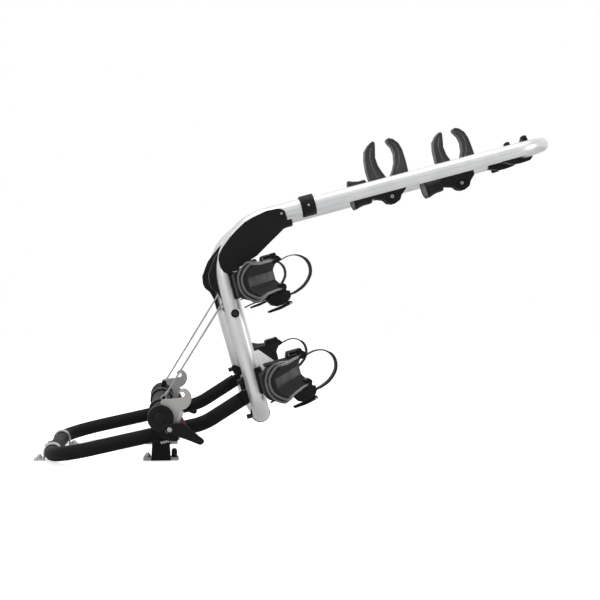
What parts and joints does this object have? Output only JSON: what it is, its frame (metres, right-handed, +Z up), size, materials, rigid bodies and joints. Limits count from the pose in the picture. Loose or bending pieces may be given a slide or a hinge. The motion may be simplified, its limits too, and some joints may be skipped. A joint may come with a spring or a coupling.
{
  "type": "drawbar bike rack",
  "caption": "Drawbar bike rack: black base clamped to an A-frame drawbar, silver tilting frame with wheel rails, strapped wheel holders, clawed bike arms and hook locks; shown tilted open",
  "frame": {"origin": "centre of the four foot bolt holes, on the plane where the feet stand on the drawbar", "axes": "+X from the rack's closed front end toward its hinge, +Y across the drawbar toward the far side, +Z up"},
  "size_m": [1.1021, 0.88, 0.7375],
  "materials": {
    "black_powder_coat": "satin powder coat",
    "black_casting": "matte painted casting",
    "black_plastic": "moulded, satin",
    "black_rubber": "matte",
    "zinc_plate": "zinc plated",
    "bright_zinc": "bright zinc plated",
    "black_oxide": "black oxide",
    "steel_cable": "stranded, galvanised",
    "grey_hook_plate": "satin grey",
    "red_flag": "moulded",
    "silver_anodised": "satin anodised"
  },
  "bodies": {
    "base": {"base_tube": "black_powder_coat", "saddles": "zinc_plate", "saddle_liners": "black_rubber", "base_nuts": "bright_zinc", "cross_tube": "black_powder_coat", "bracket_near": "black_casting", "bracket_far": "black_casting", "end_caps": "black_plastic", "clamp_plates": "zinc_plate", "feet": "black_casting", "foot_caps": "black_plastic", "hinge_plugs": "black_powder_coat", "rest_pads": "black_rubber", "latch_screws": "bright_zinc", "cable_near": "steel_cable", "cable_far": "steel_cable"},
    "tilt_frame": {"platform_tube": "silver_anodised", "hoop_tube": "silver_anodised", "collars": "black_plastic", "lock_bar": "black_powder_coat", "lock_caps": "black_plastic", "elbow_cover_near": "black_plastic", "elbow_cover_far": "black_plastic", "inner_covers": "black_plastic", "frame_screws": "black_oxide", "hinge_castings": "black_casting", "hinge_pins": "bright_zinc", "rail_upper": "silver_anodised", "rail_lower": "silver_anodised", "rail_clamps": "black_casting", "corner_clip": "black_plastic"},
    "latch_near": {"hook_near": "grey_hook_plate", "lever_near": "black_plastic", "flag_near": "red_flag"},
    "latch_far": {"hook_far": "grey_hook_plate", "lever_far": "black_plastic", "flag_far": "red_flag"},
    "holder_upper_near_set": {"holder_upper_near": "black_plastic", "strap_upper_near": "black_rubber"},
    "buckle_upper_near_lever": {"buckle_upper_near": "black_plastic"},
    "holder_upper_far_set": {"holder_upper_far": "black_plastic", "strap_upper_far": "black_rubber"},
    "buckle_upper_far_lever": {"buckle_upper_far": "black_plastic"},
    "holder_lower_near_set": {"holder_lower_near": "black_plastic", "strap_lower_near": "black_rubber"},
    "buckle_lower_near_lever": {"buckle_lower_near": "black_plastic"},
    "holder_lower_far_set": {"holder_lower_far": "black_plastic", "strap_lower_far": "black_rubber"},
    "buckle_lower_far_lever": {"buckle_lower_far": "black_plastic"},
    "arm_1_set": {"arm_clamp_1": "black_plastic", "arm_1": "silver_anodised", "claw_1": "black_plastic"},
    "finger_1_set": {"finger_1": "black_plastic"},
    "knob_1_set": {"knob_1": "black_plastic"},
    "arm_2_set": {"arm_clamp_2": "black_plastic", "arm_2": "silver_anodised", "claw_2": "black_plastic"},
    "finger_2_set": {"finger_2": "black_plastic"},
    "knob_2_set": {"knob_2": "black_plastic"}
  },
  "joints": [
    {"name": "tilt", "type": "hinge", "parent": "base", "child": "tilt_frame", "pos_m": [0.1923, 0, 0.15], "axis": [0, -1, 0], "range_deg": [0, 74.1], "deforming": ["cable_near", "cable_far"]},
    {"name": "latch_near_turn", "type": "hinge", "parent": "base", "child": "latch_near", "pos_m": [0.0179, -0.289, 0.0815], "axis": [0, -1, 0], "range_deg": [0, 12.5]},
    {"name": "latch_far_turn", "type": "hinge", "parent": "base", "child": "latch_far", "pos_m": [0.0179, 0.289, 0.0815], "axis": [0, -1, 0], "range_deg": [0, 12.5]},
    {"name": "slide_upper_near", "type": "slide", "parent": "tilt_frame", "child": "holder_upper_near_set", "axis": [0, -1, 0], "range_m": [0, 0.025]},
    {"name": "buckle_upper_near_turn", "type": "hinge", "parent": "holder_upper_near_set", "child": "buckle_upper_near_lever", "pos_m": [0.25948, -0.275, 0.32991], "axis": [0, -1, 0], "range_deg": [0, 100]},
    {"name": "slide_upper_far", "type": "slide", "parent": "tilt_frame", "child": "holder_upper_far_set", "axis": [0, 1, 0], "range_m": [0, 0.025]},
    {"name": "buckle_upper_far_turn", "type": "hinge", "parent": "holder_upper_far_set", "child": "buckle_upper_far_lever", "pos_m": [0.25948, 0.275, 0.32991], "axis": [0, -1, 0], "range_deg": [0, 100]},
    {"name": "slide_lower_near", "type": "slide", "parent": "tilt_frame", "child": "holder_lower_near_set", "axis": [0, -1, 0], "range_m": [0, 0.025]},
    {"name": "buckle_lower_near_turn", "type": "hinge", "parent": "holder_lower_near_set", "child": "buckle_lower_near_lever", "pos_m": [0.31139, -0.275, 0.13883], "axis": [0, -1, 0], "range_deg": [0, 100]},
    {"name": "slide_lower_far", "type": "slide", "parent": "tilt_frame", "child": "holder_lower_far_set", "axis": [0, 1, 0], "range_m": [0, 0.025]},
    {"name": "buckle_lower_far_turn", "type": "hinge", "parent": "holder_lower_far_set", "child": "buckle_lower_far_lever", "pos_m": [0.31139, 0.275, 0.13883], "axis": [0, -1, 0], "range_deg": [0, 100]},
    {"name": "arm_1_swivel", "type": "hinge", "parent": "tilt_frame", "child": "arm_1_set", "pos_m": [0.81612, 0, 0.66871], "axis": [0, -1, 0], "range_deg": [0, 95]},
    {"name": "finger_1_turn", "type": "hinge", "parent": "arm_1_set", "child": "finger_1_set", "pos_m": [0.51379, 0, 0.5648], "axis": [0, 1, 0], "range_deg": [0, 8]},
    {"name": "knob_1_turn", "type": "hinge", "parent": "arm_1_set", "child": "knob_1_set", "pos_m": [0.46293, 0, 0.57274], "axis": [0.965, 0, 0.2622], "range_deg": [0, 720]},
    {"name": "arm_2_swivel", "type": "hinge", "parent": "tilt_frame", "child": "arm_2_set", "pos_m": [0.81612, 0.133, 0.66871], "axis": [0, -1, 0], "range_deg": [0, 95]},
    {"name": "finger_2_turn", "type": "hinge", "parent": "arm_2_set", "child": "finger_2_set", "pos_m": [0.70404, 0.133, 0.60744], "axis": [0, 1, 0], "range_deg": [0, 8]},
    {"name": "knob_2_turn", "type": "hinge", "parent": "arm_2_set", "child": "knob_2_set", "pos_m": [0.65275, 0.133, 0.61181], "axis": [0.9444, 0, 0.3289], "range_deg": [0, 720]}
  ],
  "couplings": [
    {"joint": "finger_1_turn", "follows": "knob_1_turn", "ratio": 0.011111},
    {"joint": "finger_2_turn", "follows": "knob_2_turn", "ratio": 0.011111}
  ]
}
